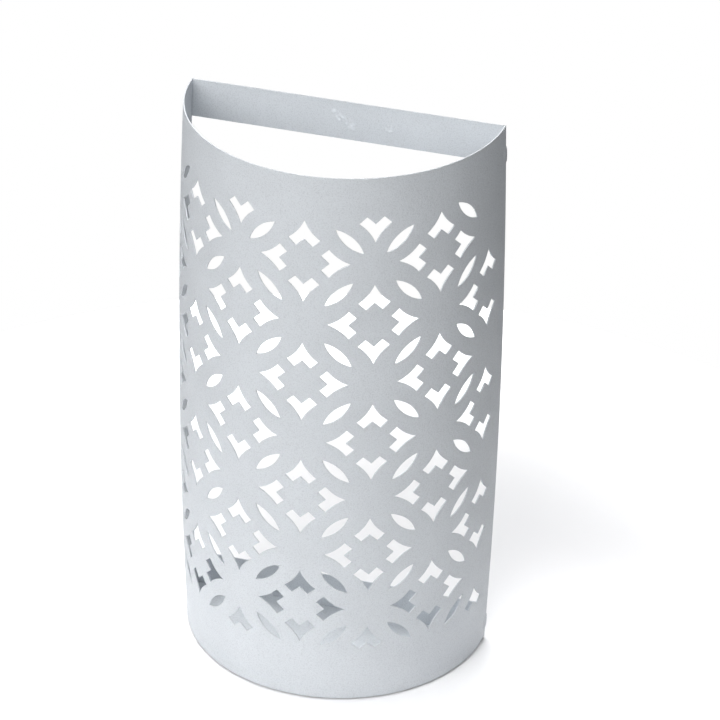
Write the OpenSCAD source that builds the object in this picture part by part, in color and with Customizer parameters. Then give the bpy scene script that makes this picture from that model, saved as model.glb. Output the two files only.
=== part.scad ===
// Half-round umbrella stand of thin sheet steel. A curved shell, pierced with rows of stars and
// leaves that leave eight-petalled flowers between them, stands on a flat base plate. Two flat
// straps tie its open back together at the top and bottom, and between them its sides spring out a
// little. Millimetres, +Z up, front towards -Y. The origin is the middle of the space that the
// stand fills, at floor level.

/* [Stand] */
// Overall width, which is greatest at mid height
stand_width = 275; // [272:1:300]
// Overall height above the floor
stand_height = 500; // [490:1:560]
// Thickness of the sheet steel
sheet = 1.2; // [0.8:0.1:2]
// Height of the two back straps
strap_height = 34; // [24:1:40]
// How far each side springs out at mid height, past its ends that the straps hold
side_bow = 5; // [2:0.5:6]

/* [Pattern] */
// Spacing of the pattern's columns, round the outside of the shell at mid height
column_pitch = 58; // [54:0.5:59]
// Spacing of the pattern's rows
row_pitch = 55; // [50:0.5:56]
// Height of the top row's centres above the floor
top_row_height = 425; // [415:1:440]
// Sideways offset of the middle column, round the shell
pattern_offset = 6; // [-6:1:6]

/* [Star] */
// Reach of a star's point, as a share of the pitch
star_reach = 0.66; // [0.6:0.01:0.72]
// Half diagonal of the solid diamond in a star, as a share of the pitch
diamond_reach = 0.365; // [0.33:0.005:0.4]
// Half width of the bridges that hold the diamond, as a share of the pitch
bridge_half = 0.13; // [0.1:0.01:0.16]
// How far a chevron's arm spreads sideways, as a share of the pitch
arm_spread = 0.227; // [0.2:0.001:0.25]
// Radius of the hollow side of a star, as a share of the pitch
star_side_radius = 0.675; // [0.6:0.005:0.9]

/* [Leaf] */
// Length of a leaf slit
leaf_length = 31; // [26:0.5:34]
// Width of a leaf slit at its middle
leaf_width = 8.4; // [6:0.2:10]
// How far the top row's leaves are drawn in to their flower, as a share of the pitch
top_leaf_draw = 0.14; // [0:0.01:0.16]

/* [Welds and feet] */
// Length of a tack weld
tack_length = 14; // [10:1:20]
// How far a strap's tack stands out behind the stand
tack_proud = 0.8; // [0.5:0.1:1]
// Leg of the fillet tacks that hold the base plate
fillet_leg = 2.5; // [2:0.1:3]
// Diameter of a foot pad
foot_diameter = 16; // [12:1:20]
// Thickness of a foot pad
foot_thickness = 1.5; // [1:0.1:2]

/* [Hidden] */

shell_bottom = foot_thickness;
shell_height = stand_height - shell_bottom;
top_of_base = shell_bottom + sheet;

outer_r = stand_width / 2;            // outside of the shell at mid height
middle_z = stand_height / 2;
bow_r = (middle_z * middle_z + side_bow * side_bow) / (2 * side_bow);  // of the bowed side
base_r = radius_at(shell_bottom) - sheet;
back_y = outer_r / 2 - tack_proud / 2;  // plane of the shell's back edges

last_column = 3;                      // columns run from -3 to 3 about the middle one
last_row = 6;                         // rows run from 0 at the top to 6
cut_depth = 6;                        // depth of a cutter, well through the sheet
cut_extra = 1;                        // how far a cutter passes an outline's end
chevron_middle = (star_reach + (diamond_reach + bridge_half) / 2) / 2;  // from the star's centre

tack_width = 2 * sheet + 1.6;
foot_spread = 70;                     // degrees from the front to the outer pads
foot_ring_r = base_r - foot_diameter;

// Centre, to the left of the line from p to q, of the arc of radius r through both points
function arc_centre(p, q, r) =
    let (half = (q - p) / 2, rise = sqrt(r * r - half * half))
    p + half + rise * [-half.y, half.x] / norm(half);

// Angle round the shell, from the front, of a column, which may lie between two columns
function column_angle(column) =
    (column * column_pitch + pattern_offset) / outer_r * 180 / PI;

// Outside radius of the shell at a height
function radius_at(z) = outer_r - bow_r + sqrt(bow_r * bow_r - (z - middle_z) * (z - middle_z));

function row_height(row) = top_row_height - row * row_pitch;

// A star sits where column and row are both even or both odd, and a flower sits elsewhere
function is_star(column, row) = (column + row) % 2 == 0;

// One of a star's four holes, pointing along +Y from the star's centre
module chevron(across, along) {
    tip = [0, star_reach * along];
    arm_end = [arm_spread * across, (arm_spread + bridge_half) * along];
    inner = (diamond_reach - bridge_half) / 2;
    side_r = star_side_radius * (across + along) / 2;
    side_centre = arc_centre(tip, arm_end, side_r);
    past = cut_extra * [across, along] / norm([across, along]);
    right_half = [
        tip + [0, cut_extra],
        arm_end + past,
        [inner * across, (inner + bridge_half) * along]
    ];
    left_half = [for (i = [2:-1:1]) [-right_half[i].x, right_half[i].y]];
    difference() {
        polygon(concat(right_half, [[0, diamond_reach * along]], left_half));
        for (side = [-1, 1])
            translate([side * side_centre.x, side_centre.y])
                circle(r = side_r, $fn = 96);
    }
}

// Slit between two arcs, lying along X
module leaf() {
    half_length = leaf_length / 2;
    half_width = leaf_width / 2;
    side_r = (half_length * half_length + half_width * half_width) / leaf_width;
    intersection_for (side = [-1, 1])
        translate([0, side * (side_r - half_width)])
            circle(r = side_r, $fn = 96);
}

// Cuts its flat child through the shell, square to the sheet at that place
module cut_through(column, row) {
    rotate([0, 0, column_angle(column)])
        translate([0, cut_depth / 2 - radius_at(row_height(row)), row_height(row)])
            rotate([90, 0, 0])
                linear_extrude(height = cut_depth)
                    children();
}

module upper_chevron(column, row)
    cut_through(column, row) chevron(column_pitch, row_pitch);

module lower_chevron(column, row)
    cut_through(column, row) rotate(180) chevron(column_pitch, row_pitch);

// side is 1 for the right chevron and -1 for the left one. The cut is square to the sheet at the
// chevron's own middle, because the sheet has turned away there from the star's centre.
module side_chevron(column, row, side)
    cut_through(column + side * chevron_middle, row)
        translate([-side * chevron_middle * column_pitch, 0])
            rotate(-90 * side)
                chevron(row_pitch, column_pitch);

module star_cuts() {
    for (column = [-last_column:last_column], row = [0:last_row])
        if (is_star(column, row)) {
            upper_chevron(column, row);
            lower_chevron(column, row);
            if (column < last_column) side_chevron(column, row, 1);
            if (column > -last_column) side_chevron(column, row, -1);
        }
}

// The pattern's top and bottom edges cut some stars to a single chevron
module edge_cuts() {
    for (column = [-1, 1]) lower_chevron(column, -1);
    for (column = [-3, -1, 1, 3]) upper_chevron(column, last_row + 1);
}

// A leaf lies in the middle of each square of four neighbours, in line with its two flowers. The
// ones above the top row's full flowers are drawn in towards them.
module leaf_cuts() {
    slope = atan(row_pitch / column_pitch);
    for (column = [-last_column + 0.5:last_column - 0.5], row = [-0.5:last_row + 0.5]) {
        falling = is_star(column - 0.5, row + 0.5);
        draw = row < 0 && abs(column) < last_column - 1 ? top_leaf_draw : 0;
        cut_through(column + (falling ? draw : -draw), row + draw)
            rotate(falling ? -slope : slope)
                leaf();
    }
}

// Front half of a drum whose side bows out. inset is how far it lies inside the shell's outside.
module bowed_half(inset) {
    rotate([0, 0, 180])
        rotate_extrude(angle = 180, $fn = 180)
            intersection() {
                translate([outer_r - bow_r, middle_z]) circle(r = bow_r - inset, $fn = 1440);
                translate([0, shell_bottom - inset]) square([outer_r, shell_height + 2 * inset]);
            }
}

// The shell's own axis lies in the plane of its back edges
module on_shell_axis() translate([0, back_y, 0]) children();

module pierced_shell() {
    color("whitesmoke")
        on_shell_axis()
            difference() {
                bowed_half(0);
                bowed_half(sheet);
                star_cuts();
                edge_cuts();
                leaf_cuts();
            }
}

// Flat strap between the shell's two back edges, flush with them. Its ends lean with the sides.
module back_strap(bottom) {
    top = bottom + strap_height;
    low_reach = radius_at(bottom) - sheet;
    high_reach = radius_at(top) - sheet;
    color("whitesmoke")
        on_shell_axis()
            rotate([90, 0, 0])
                linear_extrude(height = sheet)
                    polygon([[-low_reach, bottom], [low_reach, bottom],
                             [high_reach, top], [-high_reach, top]]);
}

module top_strap() back_strap(stand_height - strap_height);

module bottom_strap() back_strap(shell_bottom);

// Half-round plate that closes the bottom between the shell and the bottom strap
module base_plate() {
    color("gainsboro")
        on_shell_axis()
            difference() {
                translate([0, 0, shell_bottom]) cylinder(r = base_r, h = sheet, $fn = 180);
                translate([-stand_width, -sheet, 0])
                    cube([2 * stand_width, stand_width, stand_height]);
            }
}

// Half-round bead on the back of the joint between a strap's end and the shell's edge
module strap_tack(side, middle) {
    bead_r = (tack_width * tack_width / 4 + tack_proud * tack_proud) / (2 * tack_proud);
    translate([side * (radius_at(middle) - tack_width / 2), 0, middle - tack_length / 2])
        linear_extrude(height = tack_length)
            intersection() {
                translate([0, tack_proud - bead_r]) circle(r = bead_r, $fn = 96);
                translate([-tack_width, 0]) square([2 * tack_width, tack_width]);
            }
}

module strap_welds() {
    top_tack = stand_height - 0.75 * strap_height;
    bottom_tack = shell_bottom + strap_height / 2;
    color("whitesmoke")
        on_shell_axis()
            for (side = [-1, 1], middle = [top_tack, bottom_tack])
                strap_tack(side, middle);
}

// Fillet tacks inside, where the base plate meets the shell and the bottom strap
module base_welds() {
    tack_angle = tack_length / base_r * 180 / PI;
    corner_y = -sheet;
    color("whitesmoke")
        on_shell_axis() {
            for (middle = [-150:30:-30])
                rotate([0, 0, middle - tack_angle / 2])
                    rotate_extrude(angle = tack_angle, $fn = 180)
                        translate([base_r, top_of_base])
                            polygon([[0, 0], [-fillet_leg, 0], [0, fillet_leg]]);
            for (side = [-1, 1])
                translate([side * base_r / 2 + tack_length / 2, corner_y, top_of_base])
                    rotate([0, -90, 0])
                        linear_extrude(height = tack_length)
                            polygon([[0, 0], [fillet_leg, 0], [0, -fillet_leg]]);
        }
}

// Round pads stuck under the base plate
module foot_pads() {
    color("dimgray")
        on_shell_axis()
            for (angle = [-foot_spread, -foot_spread / 3, foot_spread / 3, foot_spread])
                rotate([0, 0, angle])
                    translate([0, -foot_ring_r, 0])
                        cylinder(d = foot_diameter, h = foot_thickness, $fn = 64);
}

pierced_shell();
top_strap();
bottom_strap();
base_plate();
strap_welds();
base_welds();
foot_pads();
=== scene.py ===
"""Looks of the half-round pierced umbrella stand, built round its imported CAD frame.

Lengths in the pieces' own code are millimetres; a mesh is written in metres."""

import math

import bmesh
import bpy
import numpy as np
from mathutils import Matrix, Vector
from mathutils.geometry import delaunay_2d_cdt


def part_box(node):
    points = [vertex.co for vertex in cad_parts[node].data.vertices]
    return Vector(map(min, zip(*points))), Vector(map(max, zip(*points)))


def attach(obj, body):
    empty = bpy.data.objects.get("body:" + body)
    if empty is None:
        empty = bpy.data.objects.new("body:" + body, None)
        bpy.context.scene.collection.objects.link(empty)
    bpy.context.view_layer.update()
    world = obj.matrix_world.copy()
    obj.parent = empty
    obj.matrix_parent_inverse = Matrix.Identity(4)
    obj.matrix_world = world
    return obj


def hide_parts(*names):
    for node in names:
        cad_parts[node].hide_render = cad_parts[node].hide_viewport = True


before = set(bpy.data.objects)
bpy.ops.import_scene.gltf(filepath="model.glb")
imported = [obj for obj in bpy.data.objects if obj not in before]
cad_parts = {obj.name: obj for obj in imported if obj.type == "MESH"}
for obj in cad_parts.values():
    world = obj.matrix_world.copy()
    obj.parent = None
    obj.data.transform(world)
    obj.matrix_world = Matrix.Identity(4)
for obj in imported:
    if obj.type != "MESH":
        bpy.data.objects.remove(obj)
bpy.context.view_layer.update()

MM = 0.001


def box_mm(node):
    """Lowest and highest corner of a CAD node, in millimetres."""
    low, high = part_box(node)
    return np.array(low) / MM, np.array(high) / MM


# ---------------------------------------------------------------- measures of the stand
shell_low, shell_high = box_mm("pierced_shell")
OUTER_R = shell_high[1] - shell_low[1]
BACK_Y = shell_high[1]
SHELL_BOTTOM, RIM_Z = shell_low[2], shell_high[2]
MIDDLE_Z = RIM_Z / 2
SIDE_BOW = 5.0
BOW_R = (MIDDLE_Z ** 2 + SIDE_BOW ** 2) / (2 * SIDE_BOW)
plate_low, plate_high = box_mm("base_plate")
SHEET = plate_high[2] - plate_low[2]
PLATE_R = plate_high[0]

# the pierced pattern, as in the CAD source
COLUMN_PITCH, ROW_PITCH = 58.0, 55.0
TOP_ROW = 425.0
PATTERN_OFFSET = 6.0
STAR_REACH, DIAMOND_REACH = 0.66, 0.365
BRIDGE_HALF, ARM_SPREAD = 0.13, 0.227
STAR_SIDE_R = 0.675
LEAF_LENGTH, LEAF_WIDTH = 31.0, 8.4
TOP_LEAF_DRAW = 0.14
LAST_COLUMN, LAST_ROW = 3, 6
CHEVRON_MIDDLE = (STAR_REACH + (DIAMOND_REACH + BRIDGE_HALF) / 2) / 2

COAT_R = 0.3          # rounding that the coat leaves on an edge
POINT_R = 0.5         # rounding at the points of a hole
LOOP_STEP = 2.2       # spacing of a mesh's points along an outline
GRID_STEP = 4.0       # and between outlines
ROW_SHARE = 0.87      # spacing of the grid's rows, as a share of its columns' spacing
LOOP_CLEAR = 1.7      # gap between the grid and an outline
EXTRA_CLEAR = 1.5     # gap between the grid and the close points of a relief
SLIVER = 1e-4         # area in mm2 under which a triangle lies along a straight edge
SLOPE_STEP = 0.05     # step over which a relief's slope is taken
RIM_WEAR = 0.35       # share of an edge's wear that reaches the sheet's face


def radius_at(z):
    """Outside radius of the bowed shell at a height."""
    return OUTER_R - BOW_R + np.sqrt(BOW_R ** 2 - (z - MIDDLE_Z) ** 2)


# ---------------------------------------------------------------- outlines of the holes
def arc(p, q, r):
    """Points from p to q on the arc of radius r whose centre is left of the line from p to q."""
    p, q = np.array(p), np.array(q)
    half = (q - p) / 2
    length = np.hypot(*half)
    centre = p + half + math.sqrt(r * r - length * length) * np.array([-half[1], half[0]]) / length
    a0 = math.atan2(*(p - centre)[::-1])
    turn = math.atan2(*(q - centre)[::-1]) - a0
    turn = (turn + math.pi) % (2 * math.pi) - math.pi
    count = max(2, math.ceil(abs(turn) * r / LOOP_STEP))
    angles = a0 + turn * np.linspace(0, 1, count + 1)
    return centre + r * np.stack([np.cos(angles), np.sin(angles)], 1)


def line(p, q):
    """Evenly spaced points from p to q."""
    count = max(1, math.ceil(math.dist(p, q) / LOOP_STEP))
    return np.linspace(p, q, count + 1)


def along(points, distance):
    """Point at a distance from the start of a run of points, and the points beyond it."""
    steps = np.hypot(*np.diff(points, axis=0).T)
    i = 0
    while distance > steps[i]:
        distance -= steps[i]
        i += 1
    start = points[i] + (points[i + 1] - points[i]) * distance / steps[i]
    rest = points[i + 1:]
    if np.hypot(*(rest[0] - start)) < POINT_R / 2 and len(rest) > 1:
        rest = rest[1:]
    return np.vstack([start, rest])


def rounded_loop(sides):
    """Closed outline from its sides in order, with the corners between them rounded."""
    cut = []
    for side in sides:
        side = along(side, POINT_R)
        side = along(side[::-1], POINT_R)[::-1]
        cut.append(side)
    loop = []
    for i, side in enumerate(cut):
        corner = sides[i][-1]
        after = cut[(i + 1) % len(cut)][0]
        loop.extend(side)
        for t in (1 / 3, 2 / 3):
            loop.append((1 - t) ** 2 * side[-1] + 2 * t * (1 - t) * corner + t * t * after)
    return np.array(loop)


def chevron(across, length):
    """One of a star's four holes, pointing along +y from the star's centre."""
    tip = (0, STAR_REACH * length)
    arm = (ARM_SPREAD * across, (ARM_SPREAD + BRIDGE_HALF) * length)
    inner = (DIAMOND_REACH - BRIDGE_HALF) / 2
    corner = (inner * across, (inner + BRIDGE_HALF) * length)
    notch = (0, DIAMOND_REACH * length)
    side = arc(tip, arm, STAR_SIDE_R * (across + length) / 2)
    right = [side, line(arm, corner), line(corner, notch)]
    left = [run[::-1] * (-1, 1) for run in right[::-1]]
    return rounded_loop(right + left)


def leaf():
    """A slit between two arcs, lying along x."""
    half, rise = LEAF_LENGTH / 2, LEAF_WIDTH / 2
    r = (half * half + rise * rise) / LEAF_WIDTH
    return rounded_loop([arc((half, 0), (-half, 0), r), arc((-half, 0), (half, 0), r)])


def turned(points, degrees, shift=0):
    """Points turned about the origin, then moved along x."""
    c, s = math.cos(math.radians(degrees)), math.sin(math.radians(degrees))
    return points @ np.array([[c, s], [-s, c]]) + (shift, 0)


def on_sheet(points, column, row):
    """Flat outline of a hole laid on the unrolled shell, whose u runs round the outside."""
    z = TOP_ROW - row * ROW_PITCH + points[:, 1]
    turn = (column * COLUMN_PITCH + PATTERN_OFFSET) / OUTER_R
    return np.stack([OUTER_R * (turn + np.arcsin(points[:, 0] / radius_at(z))), z], 1)


def shell_holes():
    """Outlines of every hole, on the unrolled shell."""
    up = chevron(COLUMN_PITCH, ROW_PITCH)
    down = turned(up, 180)
    side = chevron(ROW_PITCH, COLUMN_PITCH)
    back = CHEVRON_MIDDLE * COLUMN_PITCH
    right, left = turned(side, -90, -back), turned(side, 90, back)
    columns = range(-LAST_COLUMN, LAST_COLUMN + 1)
    found = []
    for column in columns:
        for row in range(LAST_ROW + 1):
            if (column + row) % 2:
                continue
            found += [on_sheet(up, column, row), on_sheet(down, column, row)]
            if column < LAST_COLUMN:
                found.append(on_sheet(right, column + CHEVRON_MIDDLE, row))
            if column > -LAST_COLUMN:
                found.append(on_sheet(left, column - CHEVRON_MIDDLE, row))
    found += [on_sheet(down, column, -1) for column in (-1, 1)]
    found += [on_sheet(up, column, LAST_ROW + 1) for column in columns if column % 2]
    slope = math.degrees(math.atan2(ROW_PITCH, COLUMN_PITCH))
    for column in columns[:-1]:
        for row in range(-1, LAST_ROW + 1):
            falling = (column + row + 1) % 2 == 0
            draw = TOP_LEAF_DRAW if row < 0 and -2 <= column < 2 else 0
            shape = turned(leaf(), -slope if falling else slope)
            found.append(on_sheet(shape, column + 0.5 + (draw if falling else -draw),
                                  row + 0.5 + draw))
    return found


# ---------------------------------------------------------------- sheets
def inward(loop):
    """Mitred step of unit width from a loop into the sheet, which lies on the loop's left."""
    step = np.roll(loop, -1, axis=0) - loop
    step /= np.hypot(*step.T)[:, None]
    after = np.stack([-step[:, 1], step[:, 0]], 1)
    before = np.roll(after, 1, axis=0)
    return (before + after) / (1 + (before * after).sum(1))[:, None]


def signed_area(loop):
    """Area inside the loop, which is below zero if it runs clockwise."""
    x, y = loop.T
    return (x * np.roll(y, -1) - np.roll(x, -1) * y).sum() / 2


def inside(points, loop):
    """True where a point lies inside the loop."""
    hit = np.zeros(len(points), bool)
    for a, b in zip(loop, np.roll(loop, -1, axis=0)):
        crosses = (a[1] > points[:, 1]) != (b[1] > points[:, 1])
        if crosses.any():
            x = a[0] + (points[:, 1] - a[1]) * (b[0] - a[0]) / (b[1] - a[1] + 1e-12)
            hit ^= crosses & (points[:, 0] < x)
    return hit


def grid_points(outline, holes, spacing, clear):
    """Staggered points inside the outline, clear of every loop and outside the holes."""
    low, high = outline.min(0), outline.max(0)
    rows = np.arange(low[1] + spacing / 2, high[1], spacing * ROW_SHARE)
    columns = np.arange(low[0] + spacing / 2, high[0], spacing)
    points = np.array([(u + spacing / 4 * (-1) ** i, v)
                       for i, v in enumerate(rows) for u in columns])
    keep = inside(points, outline)
    for k, loop in enumerate([outline] + holes):
        near = ((points > loop.min(0) - clear) & (points < loop.max(0) + clear)).all(1) & keep
        index = np.nonzero(near)[0]
        if not len(index):
            continue
        gap = np.full(len(index), np.inf)
        for a, b in zip(loop, np.roll(loop, -1, axis=0)):
            along_it = np.clip(((points[index] - a) @ (b - a)) / ((b - a) @ (b - a)), 0, 1)
            gap = np.minimum(gap, np.hypot(*(points[index] - a - along_it[:, None] * (b - a)).T))
        keep[index[gap < clear]] = False
        if k:
            keep[index[inside(points[index], loop)]] = False
    return points[keep]


def new_piece(name, verts, faces, normals=None, **attributes):
    """A new object. Each attribute holds one number for every vertex."""
    mesh = bpy.data.meshes.new(name)
    mesh.from_pydata((np.asarray(verts) * MM).tolist(), [], faces)
    mesh.validate()
    mesh.shade_smooth()
    for key, values in attributes.items():
        layer = mesh.attributes.new(key, "FLOAT", "POINT")
        layer.data.foreach_set("value", np.asarray(values, np.float32))
    if normals is None:
        mesh.set_sharp_from_angle(angle=math.radians(40))
    else:
        mesh.normals_split_custom_set_from_vertices(normals)
    piece = bpy.data.objects.new(name, mesh)
    bpy.context.scene.collection.objects.link(piece)
    return piece


def sheet_piece(name, outline, holes, bend, spacing=GRID_STEP, relief=None, extra=None):
    """A sheet with holes and softly rounded edges. bend(u, v, depth) gives a point of the sheet,
    the directions of u and v there and the front's normal. relief(u, v) is how far the front
    stands proud, and extra holds the points that carry its shape."""
    outline = outline if signed_area(outline) > 0 else outline[::-1]
    holes = [loop if signed_area(loop) < 0 else loop[::-1] for loop in holes]
    loops = [outline] + holes
    steps = [inward(loop) for loop in loops]
    flat = [loop + COAT_R * step for loop, step in zip(loops, steps)]
    inner = grid_points(outline, holes, spacing, LOOP_CLEAR)
    if extra is not None:
        apart = [np.hypot(*(extra - p).T).min() > EXTRA_CLEAR for p in inner]
        inner = np.vstack([inner[apart], extra])
    points = np.vstack(flat + [inner])

    rings, start = [], 0
    for loop in flat:
        rings.append(list(range(start, start + len(loop))))
        start += len(loop)
    edges = [(ring[i - 1], ring[i]) for ring in rings for i in range(len(ring))]
    spots, _, cells, old_spots, _, old_faces = delaunay_2d_cdt(
        [Vector(p) for p in points], edges, [ring[::-1] for ring in rings[1:]], 0, 1e-7)
    plane = np.array([tuple(p) for p in spots])
    place = {old: new for new, olds in enumerate(old_spots) for old in olds}
    triangles = [list(cell) for cell, hole in zip(cells, old_faces) if not hole]
    a, b, c = (plane[[face[i] for face in triangles]].T for i in range(3))
    area = np.abs((b[0] - a[0]) * (c[1] - a[1]) - (b[1] - a[1]) * (c[0] - a[0])) / 2
    triangles = [face for face, size in zip(triangles, area) if size > SLIVER]

    # down the sheet's edge: inset, depth, and the normal's tilt in degrees
    bevel = 1 - math.sqrt(0.5)
    profile = [(bevel * COAT_R, bevel * COAT_R, 45), (0, COAT_R, 90), (0, SHEET - COAT_R, 90),
               (bevel * COAT_R, SHEET - bevel * COAT_R, 135)]
    u, v = plane.T
    lift = np.zeros(len(plane)) if relief is None else relief(u, v)
    spot, eu, ev, n = bend(u, v, -lift)
    if relief is None:
        front_n = n
    else:
        step = SLOPE_STEP
        slope_u = (relief(u + step, v) - relief(u - step, v)) / (2 * step)
        slope_v = (relief(u, v + step) - relief(u, v - step)) / (2 * step)
        front_n = n - slope_u[:, None] * eu - slope_v[:, None] * ev
        front_n /= np.linalg.norm(front_n, axis=1)[:, None]
    back = bend(u, v, np.full(len(plane), SHEET))[0]
    verts, normals = [spot, back], [front_n, -n]
    count = len(plane)
    edge = np.zeros(2 * count)
    lumps = [np.abs(lift), np.zeros(count)]
    faces = triangles + [[a + count, c + count, b + count] for a, b, c in triangles]
    total = 2 * count
    worn = []
    for loop, step, ring in zip(loops, steps, rings):
        m = len(loop)
        front_ring = [place[i] for i in ring]
        edge[front_ring] = edge[[i + count for i in front_ring]] = RIM_WEAR
        layers = [front_ring]
        for inset, depth, degrees in profile:
            p = loop + inset * step
            spot, eu, ev, n = bend(p[:, 0], p[:, 1], np.full(m, depth))
            away = -step / np.hypot(*step.T)[:, None]
            a = math.radians(degrees)
            verts.append(spot)
            normals.append(math.cos(a) * n
                           + math.sin(a) * (away[:, :1] * eu + away[:, 1:] * ev))
            worn.append(np.ones(m))
            lumps.append(np.zeros(m))
            layers.append(list(range(total, total + m)))
            total += m
        layers.append([i + count for i in front_ring])
        for a, b in zip(layers, layers[1:]):
            faces += [[a[i], b[i], b[(i + 1) % m], a[(i + 1) % m]] for i in range(m)]
    return new_piece(name, np.vstack(verts), faces, np.vstack(normals),
                     edge=np.concatenate([edge] + worn), lump=np.concatenate(lumps))


def loop_of(corners):
    """Closed outline through corners, with evenly spaced points."""
    runs = []
    for a, b in zip(corners, corners[1:] + corners[:1]):
        count = max(1, round(math.dist(a, b) / GRID_STEP))
        runs.append(np.linspace(a, b, count, endpoint=False))
    return np.vstack(runs)


def rolled(u, v, depth):
    """Bends the flat shell round its axis and bows its side."""
    turn = u / OUTER_R
    slope = -(v - MIDDLE_Z) / np.sqrt(BOW_R ** 2 - (v - MIDDLE_Z) ** 2)
    c, s, zero = np.cos(turn), np.sin(turn), np.zeros(len(u))
    r = radius_at(v) - depth
    eu = np.stack([c, s, zero], 1)
    ev = np.stack([slope * s, -slope * c, zero + 1], 1)
    ev /= np.linalg.norm(ev, axis=1)[:, None]
    return np.stack([r * s, BACK_Y - r * c, v], 1), eu, ev, np.cross(eu, ev)


def upright(u, v, depth):
    """Stands a flat strap across the back, its front towards -y."""
    one, zero = np.ones(len(u)), np.zeros(len(u))
    return (np.stack([u, BACK_Y - SHEET + depth, v], 1), np.stack([one, zero, zero], 1),
            np.stack([zero, zero, one], 1), np.stack([zero, -one, zero], 1))


def lying(u, v, depth):
    """Lays the flat base plate down, its front upwards."""
    one, zero = np.ones(len(u)), np.zeros(len(u))
    return (np.stack([u, v, plate_high[2] - depth], 1), np.stack([one, zero, zero], 1),
            np.stack([zero, one, zero], 1), np.stack([zero, zero, one], 1))


def build_shell():
    half_turn = math.pi / 2 * OUTER_R
    outline = loop_of([(-half_turn, SHELL_BOTTOM), (half_turn, SHELL_BOTTOM),
                       (half_turn, RIM_Z), (-half_turn, RIM_Z)])
    return sheet_piece("pierced_shell_skin", outline, shell_holes(), rolled)


# clusters of weld spatter on the top strap's front: middle x, distance below the strap's top, half
# length, half width, tilt in degrees, number of lumps
SPATTER = [(-2, 15.5, 11.5, 4.0, -38, 26), (38, 18, 5.5, 3.5, 20, 11)]
SPATTER_RISE = 1.2      # the most that they stand proud
SPATTER_STEP = 0.8      # spacing of the mesh's points there
LUMP_FALL = 1.6         # how steeply a lump falls away


def spatter_lumps():
    """Each lump's x, z, radius and height."""
    rng = np.random.default_rng(5)
    lumps = []
    for x, below, length, width, tilt, count in SPATTER:
        c, s = math.cos(math.radians(tilt)), math.sin(math.radians(tilt))
        a = rng.uniform(-1, 1, count) * length
        b = rng.normal(0, 0.5, count) * width
        lumps += zip(x + a * c - b * s, RIM_Z - below + a * s + b * c,
                     rng.uniform(0.8, 1.6, count), rng.uniform(0.5, 1.1, count))
    return lumps


LUMPS = spatter_lumps()


def spatter_height(u, v):
    """How far the weld spatter under the coat stands proud of the top strap."""
    height = np.zeros(len(u))
    for x, z, radius, rise in LUMPS:
        height += rise * np.exp(-LUMP_FALL * ((u - x) ** 2 + (v - z) ** 2) / radius ** 2)
    return SPATTER_RISE * (1 - np.exp(-height / SPATTER_RISE))


def spatter_points():
    """Close points over the clusters, which carry the lumps' shape."""
    points = []
    for x, below, length, *_ in SPATTER:
        reach_x, reach_z = length + 2, length * 0.8 + 3
        z = RIM_Z - below
        points += [(u, v) for u in np.arange(x - reach_x, x + reach_x, SPATTER_STEP)
                   for v in np.arange(z - reach_z, z + reach_z, SPATTER_STEP)]
    return np.array(points)


def build_strap(node, name, relief=None, extra=None):
    low, high = box_mm(node)
    wide = [radius_at(z) - SHEET for z in (low[2], high[2])]
    outline = loop_of([(-wide[0], low[2]), (wide[0], low[2]), (wide[1], high[2]),
                       (-wide[1], high[2])])
    return sheet_piece(name, outline, [], upright, relief=relief, extra=extra)


PLATE_STEP = 6.0


def build_plate():
    turns = np.radians(np.linspace(-90, 90, 120))
    outline = np.stack([PLATE_R * np.sin(turns), BACK_Y - PLATE_R * np.cos(turns)], 1)
    outline[:, 1] = np.minimum(outline[:, 1], plate_high[1])
    back = np.linspace(outline[-1], outline[0], 66)[1:-1]
    return sheet_piece("base_plate_skin", np.vstack([outline, back]), [], lying,
                       spacing=PLATE_STEP)


# ---------------------------------------------------------------- welds and feet
TACK_LENGTH = 14.0
RIPPLE_PITCH = 1.7              # spacing of the ripples along a bead
BACK_LAP, SIDE_LAP = 3.6, 7.5   # reach of a strap's bead from the corner
SIDE_RISE = 1.3                 # height on the shell's side, as a share of that on the back
CORNER_REACH = 1.2              # distance from the corner within which a bead turns round it
FILLET_LEG = 2.5
SINK, FILLET_SINK = 0.4, 0.3    # how deep a bead's hidden side lies in the steel


def loft(rings_list):
    """Closed skins over several stacks of rings, as vertices and faces."""
    verts, faces = [], []
    for rings in rings_list:
        n, m = len(rings), len(rings[0])
        start = len(verts)
        for ring in rings:
            verts.extend(ring)
        for i in range(n - 1):
            for j in range(m):
                a, b = start + i * m + j, start + i * m + (j + 1) % m
                faces.append([a, b, b + m, a + m])
        faces.append([start + j for j in range(m)][::-1])
        faces.append([start + (n - 1) * m + j for j in range(m)])
    return verts, faces


def tack_rings(section, stations, rng):
    """Rings of a tack weld. section(t, grow, wave) is the closed ring at t, from 0 to 1, along
    it: grow is the ring's size, and wave the phase of its ripples."""
    phase = rng.uniform(0, 6)
    rings = []
    for i in range(stations + 1):
        t = i / stations
        end = max(0.0, 1 - abs(2 * t - 1) ** 3.2)
        grow = 0.12 + 0.88 * math.sqrt(end)
        rings.append(section(t, grow, phase + t * TACK_LENGTH / RIPPLE_PITCH * 2 * math.pi))
    return rings


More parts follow.
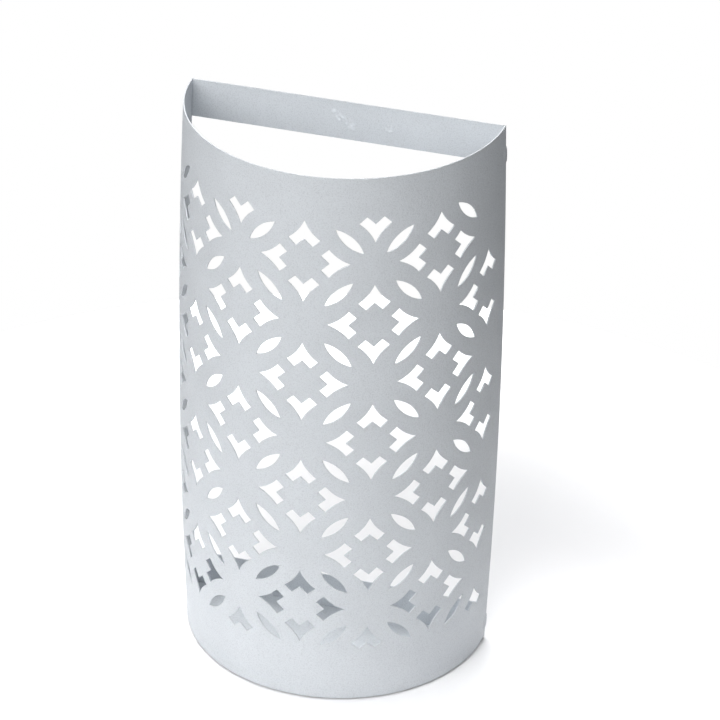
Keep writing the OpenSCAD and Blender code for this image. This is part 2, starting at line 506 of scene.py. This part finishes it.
def strap_tack(side, middle, proud, rng):
    """Bead over the corner where a strap's end meets the shell's back edge. It laps from the
    strap's back, over the edge, on to the shell's outside."""
    across = 30
    mid = math.sqrt(0.5)

    def section(t, grow, wave):
        z = middle + (t - 0.5) * TACK_LENGTH
        r = radius_at(z)
        ring = []
        for k in range(across + 1):
            from_middle = (2 * k / across - 1) ** 2
            s = (-BACK_LAP + (BACK_LAP + SIDE_LAP) * k / across) * (0.5 + 0.5 * grow)
            height = proud * grow * max(0.0, 1 - from_middle) ** (0.6 if s < 0 else 0.35)
            height *= 0.86 + 0.14 * math.cos(wave - 2.2 * from_middle)
            if s < 0:
                base, out = (r + s, 0.0), (0.0, 1.0)
            else:
                base, out = (math.sqrt(r * r - s * s), -s), (1.0, 0.0)
            blend = min(1.0, abs(s) / CORNER_REACH)
            ox = out[0] * blend + mid * (1 - blend)
            oy = out[1] * blend + mid * (1 - blend)
            scale = height * (1 if s < 0 else SIDE_RISE) / math.hypot(ox, oy)
            ring.append((side * (base[0] + ox * scale), BACK_Y + base[1] + oy * scale, z))
        ring += [(side * (r - SINK), BACK_Y - SIDE_LAP * 0.9 * grow, z),
                 (side * (r - SINK - 0.1), BACK_Y - SINK, z),
                 (side * (r - BACK_LAP * 0.9 * grow), BACK_Y - SINK, z)]
        return ring if side > 0 else ring[::-1]

    return tack_rings(section, 40, rng)


def fillet_tack(corner, away, rng):
    """Fillet bead in the corner of the base plate and a wall. corner(s) and away(s) are the
    corner's point and the level direction off the wall, s mm along the bead."""
    across = 12

    def section(t, grow, wave):
        s = (t - 0.5) * TACK_LENGTH
        base, off = corner(s), away(s)
        ring = [base - FILLET_SINK * np.array([off[0], off[1], 1])]
        for k in range(across + 1):
            a = math.pi / 2 * k / across
            reach = FILLET_LEG * grow / (math.cos(a) + math.sin(a)) ** 0.75
            reach *= 0.93 + 0.07 * math.cos(wave - 1.5 * math.sin(2 * a))
            ring.append(base + np.array([off[0] * math.cos(a), off[1] * math.cos(a),
                                         math.sin(a)]) * reach)
        return [tuple(p) for p in ring]

    return tack_rings(section, 36, rng)


def outward(verts, faces, name):
    """The piece, with its faces turned outwards."""
    piece = new_piece(name, verts, faces)
    bm = bmesh.new()
    bm.from_mesh(piece.data)
    bmesh.ops.recalc_face_normals(bm, faces=bm.faces)
    bm.to_mesh(piece.data)
    bm.free()
    return piece


def build_strap_welds():
    low, high = box_mm("strap_welds")
    proud = high[1] - BACK_Y
    rng = np.random.default_rng(11)
    middles = (high[2] - TACK_LENGTH / 2, low[2] + TACK_LENGTH / 2)
    stacks = [strap_tack(side, z, proud, rng) for side in (1, -1) for z in middles]
    return outward(*loft(stacks), "strap_weld_beads")


def build_base_welds():
    rng = np.random.default_rng(23)
    top = plate_high[2]
    stacks = []
    for degrees in range(-60, 61, 30):
        centre = math.radians(degrees)

        def corner(s, centre=centre):
            a = centre + s / PLATE_R
            return np.array([PLATE_R * math.sin(a), BACK_Y - PLATE_R * math.cos(a), top])

        def away(s, centre=centre):
            a = centre + s / PLATE_R
            return np.array([-math.sin(a), math.cos(a)])

        stacks.append(fillet_tack(corner, away, rng))
    for side in (-1, 1):
        def corner(s, side=side):
            return np.array([side * PLATE_R / 2 + s, plate_high[1], top])

        def away(s):
            return np.array([0.0, -1.0])

        stacks.append(fillet_tack(corner, away, rng))
    return outward(*loft(stacks), "base_weld_beads")


FOOT_DIAMETER = 16.0
FOOT_TURNS = (-70, -70 / 3, 70 / 3, 70)


def build_feet():
    low, high = box_mm("foot_pads")
    thick = high[2] - low[2]
    r = FOOT_DIAMETER / 2
    ring_r = PLATE_R - FOOT_DIAMETER
    profile = [(r - 1.2, 0.0), (r - 0.45, 0.03), (r - 0.12, 0.15), (r, 0.4),
               (r - 0.03, thick * 0.6), (r, thick - 0.35), (r - 0.1, thick - 0.1),
               (r - 0.35, thick)]
    round_it = [2 * math.pi * k / 64 for k in range(64)]
    stacks = []
    for degrees in FOOT_TURNS:
        a = math.radians(degrees)
        x, y = ring_r * math.sin(a), BACK_Y - ring_r * math.cos(a)
        stacks.append([[(x + q * math.cos(t), y + q * math.sin(t), z) for t in round_it]
                       for q, z in profile])
    return outward(*loft(stacks), "foot_pad_discs")


# ---------------------------------------------------------------- materials
def tree_of(name):
    """A new material, its node tree and its shader."""
    material = bpy.data.materials.new(name)
    material.use_nodes = True
    tree = material.node_tree
    tree.nodes.clear()
    output = tree.nodes.new("ShaderNodeOutputMaterial")
    shader = tree.nodes.new("ShaderNodeBsdfPrincipled")
    tree.links.new(shader.outputs[0], output.inputs[0])
    return material, tree, shader


def noise_node(tree, coords, scale, detail=2.0, rough=0.5):
    node = tree.nodes.new("ShaderNodeTexNoise")
    node.inputs["Scale"].default_value = scale
    node.inputs["Detail"].default_value = detail
    node.inputs["Roughness"].default_value = rough
    tree.links.new(coords, node.inputs["Vector"])
    return node.outputs["Fac"]


def ramp_node(tree, factor, stops):
    """Colour ramp through stops of (position, colour), in order."""
    node = tree.nodes.new("ShaderNodeValToRGB")
    ramp = node.color_ramp
    ramp.elements[0].position, ramp.elements[0].color = stops[0][0], (*stops[0][1], 1)
    ramp.elements[1].position, ramp.elements[1].color = stops[-1][0], (*stops[-1][1], 1)
    for position, color in stops[1:-1]:
        ramp.elements.new(position).color = (*color, 1)
    tree.links.new(factor, node.inputs["Fac"])
    return node.outputs["Color"]


def math_node(tree, operation, a, b):
    node = tree.nodes.new("ShaderNodeMath")
    node.operation = operation
    for socket, value in zip(node.inputs, (a, b)):
        if isinstance(value, (int, float)):
            socket.default_value = value
        else:
            tree.links.new(value, socket)
    return node.outputs[0]


def mix_color(tree, factor, a, b, blend="MIX"):
    """Mix of two colours. The factor and each colour are a value or a socket."""
    node = tree.nodes.new("ShaderNodeMix")
    node.data_type, node.blend_type = "RGBA", blend
    for name, value in (("Factor", factor), ("A", a), ("B", b)):
        socket = next(s for s in node.inputs if s.name == name and s.enabled)
        if isinstance(value, tuple):
            socket.default_value = (*value, 1)
        elif isinstance(value, (int, float)):
            socket.default_value = value
        else:
            tree.links.new(value, socket)
    return next(s for s in node.outputs if s.enabled)


def bump_node(tree, height, strength, distance, normal=None):
    node = tree.nodes.new("ShaderNodeBump")
    node.inputs["Strength"].default_value = strength
    node.inputs["Distance"].default_value = distance
    tree.links.new(height, node.inputs["Height"])
    if normal is not None:
        tree.links.new(normal, node.inputs["Normal"])
    return node.outputs["Normal"]


def grey(level):
    return (level,) * 3


def shade(color, factor):
    return tuple(c * factor for c in color)


def attribute_node(tree, name):
    node = tree.nodes.new("ShaderNodeAttribute")
    node.attribute_name = name
    return node.outputs["Fac"]


COAT = (0.67, 0.70, 0.73)
THIN_COAT = 0.80        # shade of the coat where an edge wears it thin
THIN_SHARE = 0.55
SPATTER_HIGHLIGHT = 1.15     # painted highlight: a lighter coat on the tops of the weld spatter


def powder_coat(name, grain, color=COAT):
    """Matte fine-grained powder coat, with a painted highlight on the tops of the weld spatter.
    grain scales the height of its texture.
    """
    material, tree, shader = tree_of(name)
    coords = tree.nodes.new("ShaderNodeTexCoord").outputs["Object"]
    speck = noise_node(tree, coords, 950, 3, 0.62)
    peel = noise_node(tree, coords, 260, 2, 0.5)
    cloud = noise_node(tree, coords, 17, 3, 0.55)
    base = ramp_node(tree, cloud, [(0.3, shade(color, 0.965)), (0.5, color),
                                   (0.72, shade(color, 1.03))])
    fine = ramp_node(tree, speck, [(0.3, (0.82, 0.82, 0.825)), (0.5, grey(0.97)),
                                   (0.7, grey(1.0))])
    base = mix_color(tree, 1.0, base, fine, "MULTIPLY")
    patchy = noise_node(tree, coords, 420, 2, 0.6)
    thin = math_node(tree, "MULTIPLY", attribute_node(tree, "edge"), patchy)
    thin = math_node(tree, "MULTIPLY", thin, THIN_SHARE)
    base = mix_color(tree, thin, base, shade(color, THIN_COAT))
    # painted highlight: the coat turns lighter the further the weld spatter stands proud
    painted_spatter_highlight = ramp_node(tree, attribute_node(tree, "lump"),
                       [(0.0, grey(0.0)), (0.35, grey(0.25)), (0.75, grey(1.0))])
    base = mix_color(tree, painted_spatter_highlight, base, shade(color, SPATTER_HIGHLIGHT))
    tree.links.new(base, shader.inputs["Base Color"])
    rough = ramp_node(tree, peel, [(0.3, grey(0.52)), (0.7, grey(0.66))])
    tree.links.new(rough, shader.inputs["Roughness"])
    shader.inputs["Specular IOR Level"].default_value = 0.35
    low = bump_node(tree, peel, 0.35 * grain, 0.0006)
    high = bump_node(tree, speck, 0.7 * grain, 0.0004, low)
    tree.links.new(high, shader.inputs["Normal"])
    return material


def rubber(name):
    """Dull black rubber with fine pores and a little dust."""
    material, tree, shader = tree_of(name)
    coords = tree.nodes.new("ShaderNodeTexCoord").outputs["Object"]
    pores = noise_node(tree, coords, 1400, 3, 0.6)
    dust = noise_node(tree, coords, 90, 3, 0.55)
    base = ramp_node(tree, dust, [(0.35, (0.020, 0.020, 0.022)), (0.7, (0.045, 0.045, 0.048))])
    tree.links.new(base, shader.inputs["Base Color"])
    rough = ramp_node(tree, pores, [(0.3, grey(0.68)), (0.7, grey(0.86))])
    tree.links.new(rough, shader.inputs["Roughness"])
    tree.links.new(bump_node(tree, pores, 0.5, 0.0003), shader.inputs["Normal"])
    return material


# ---------------------------------------------------------------- put together
steel = powder_coat("white_powder_coat", 1.0)
weld_coat = powder_coat("powder_coat_on_weld", 1.5, shade(COAT, 0.97))
pad_rubber = rubber("black_pad_rubber")

PIECES = [
    (build_shell(), "pierced_shell", "white_steel", steel),
    (build_strap("top_strap", "top_strap_bar", spatter_height, spatter_points()), "top_strap",
     "white_steel", steel),
    (build_strap("bottom_strap", "bottom_strap_bar"), "bottom_strap", "white_steel", steel),
    (build_plate(), "base_plate", "white_steel", steel),
    (build_strap_welds(), "strap_welds", "coated_weld", weld_coat),
    (build_base_welds(), "base_welds", "coated_weld", weld_coat),
    (build_feet(), "foot_pads", "foot_rubber", pad_rubber),
]
for piece, node, slot, material in PIECES:
    piece.data.materials.append(material)
    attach(piece, "root")
    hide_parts(node)


# ---------------------------------------------------------------- floor, light and camera
def stage_piece(name, verts, faces):
    """A new object in metres that isn't part of the stand."""
    mesh = bpy.data.meshes.new(name)
    mesh.from_pydata(verts, [], faces)
    piece = bpy.data.objects.new(name, mesh)
    bpy.context.scene.collection.objects.link(piece)
    return piece


def ring_points(radius, z):
    turns = [2 * math.pi * k / 96 for k in range(96)]
    return [(radius * math.cos(a), radius * math.sin(a), z) for a in turns]


FLOOR_R = 0.62            # of the lit floor
FADE_FROM = 0.45          # share of that radius where the floor starts to fade
FADE_GLOW = 0.6           # glow that blends its rim into the backdrop
FAR = 12.0                # radius and height of the backdrop
BELOW_FLOOR = -0.002


def build_floor():
    """A pale round floor that the lamps light. It fades into the backdrop at its rim."""
    verts = ring_points(FLOOR_R, 0)
    floor = stage_piece("floor", verts, [list(range(len(verts)))])
    material, tree, shader = tree_of("pale_floor")
    shader.inputs["Base Color"].default_value = (0.93, 0.93, 0.94, 1)
    shader.inputs["Roughness"].default_value = 0.9
    shader.inputs["Specular IOR Level"].default_value = 0.1
    place = tree.nodes.new("ShaderNodeTexCoord").outputs["Object"]
    reach = tree.nodes.new("ShaderNodeVectorMath")
    reach.operation = "LENGTH"
    tree.links.new(place, reach.inputs[0])
    fade = tree.nodes.new("ShaderNodeMapRange")
    fade.interpolation_type = "SMOOTHSTEP"
    fade.inputs["From Min"].default_value = FLOOR_R * FADE_FROM
    fade.inputs["From Max"].default_value = FLOOR_R
    fade.inputs["To Max"].default_value = FADE_GLOW
    tree.links.new(reach.outputs["Value"], fade.inputs["Value"])
    shader.inputs["Emission Color"].default_value = (1, 1, 1, 1)
    tree.links.new(fade.outputs[0], shader.inputs["Emission Strength"])
    floor.data.materials.append(material)


def build_backdrop():
    """A pale ground and wall all round, which light nothing."""
    low, high = ring_points(FAR, BELOW_FLOOR), ring_points(FAR, FAR)
    count = len(low)
    faces = [list(range(count))]
    faces += [(k, (k + 1) % count, (k + 1) % count + count, k + count) for k in range(count)]
    wall = stage_piece("backdrop", low + high, faces)
    material = bpy.data.materials.new("pale_wall")
    material.use_nodes = True
    tree = material.node_tree
    tree.nodes.clear()
    glow = tree.nodes.new("ShaderNodeEmission")
    glow.inputs["Color"].default_value = (1, 1, 1, 1)
    out = tree.nodes.new("ShaderNodeOutputMaterial")
    tree.links.new(glow.outputs[0], out.inputs[0])
    wall.data.materials.append(material)
    wall.visible_diffuse = wall.visible_glossy = wall.visible_shadow = False


def towards(turn, rise):
    """Direction to a light, turned round from the front and raised, in degrees."""
    a, e = math.radians(turn), math.radians(rise)
    return Vector((math.sin(a) * math.cos(e), -math.cos(a) * math.cos(e), math.sin(e)))


def lamp(name, kind, energy, turn, rise, far, aim=(0, 0, 0), **settings):
    """A light at a distance from aim, which it shines at."""
    light = bpy.data.lights.new(name, kind)
    light.energy = energy
    for key, value in settings.items():
        setattr(light, key, value)
    piece = bpy.data.objects.new(name, light)
    piece.location = Vector(aim) + towards(turn, rise) * far
    piece.rotation_mode = "QUATERNION"
    piece.rotation_quaternion = (-towards(turn, rise)).to_track_quat("-Z", "Y")
    bpy.context.scene.collection.objects.link(piece)


build_floor()
build_backdrop()
lamp("front", "AREA", 32, -12, 38, far=2.2, size=1.6)
lamp("back_left", "AREA", 38, -150, 48, far=2.2, size=1.6)
lamp("overhead", "SPOT", 48, 0, 90, far=4.0, spot_size=math.radians(31), spot_blend=0.25,
     shadow_soft_size=0.4)

# narrow lamps straight down on the floor round the stand's front: turn, watts
FLOOR_POOLS = ((-80, 96), (-45, 92), (-10, 76), (25, 66), (60, 66), (90, 64))
POOL_RING = 0.24
POOL_MIDDLE = Vector((0, 0.068, 0))     # near the shell's axis
for turn, power in FLOOR_POOLS:
    pool = POOL_RING * towards(turn, 0) + POOL_MIDDLE
    lamp(f"floor_pool_{turn}", "SPOT", power, 0, 90, far=2.5, aim=pool,
         spot_size=math.radians(8), spot_blend=1.0, shadow_soft_size=0.05)

world = bpy.data.worlds.new("studio")
world.use_nodes = True
sky = world.node_tree.nodes["Background"]
sky.inputs["Color"].default_value = (0.97, 0.98, 1.0, 1)
sky.inputs["Strength"].default_value = 0.2
bpy.context.scene.world = world

view_settings = bpy.context.scene.view_settings
view_settings.view_transform = "Standard"
view_settings.look = "None"

CAMERA_TURN, CAMERA_RISE, CAMERA_ROLL = 16.003, 31.094, -1.177   # degrees
CAMERA_AIM = Vector((0.0308, 0.0134, 0.2935))
CAMERA_FAR = 2.950
CAMERA_LENS = 179.4       # mm, on a sensor 36 mm wide


def build_camera():
    turn, rise = math.radians(CAMERA_TURN), math.radians(CAMERA_RISE)
    roll = math.radians(CAMERA_ROLL)
    ahead = Vector((-math.sin(turn) * math.cos(rise), math.cos(turn) * math.cos(rise),
                    -math.sin(rise)))
    right = Vector((math.cos(turn), math.sin(turn), 0))
    down = ahead.cross(right)
    across = math.cos(roll) * right + math.sin(roll) * down
    fall = -math.sin(roll) * right + math.cos(roll) * down
    data = bpy.data.cameras.new("camera")
    data.sensor_width, data.lens = 36, CAMERA_LENS
    data.clip_start, data.clip_end = 0.1, 200
    camera = bpy.data.objects.new("camera", data)
    camera.matrix_world = Matrix.Translation(CAMERA_AIM - ahead * CAMERA_FAR) @ Matrix(
        (across, -fall, -ahead)).transposed().to_4x4()
    bpy.context.scene.collection.objects.link(camera)
    bpy.context.scene.camera = camera


build_camera()
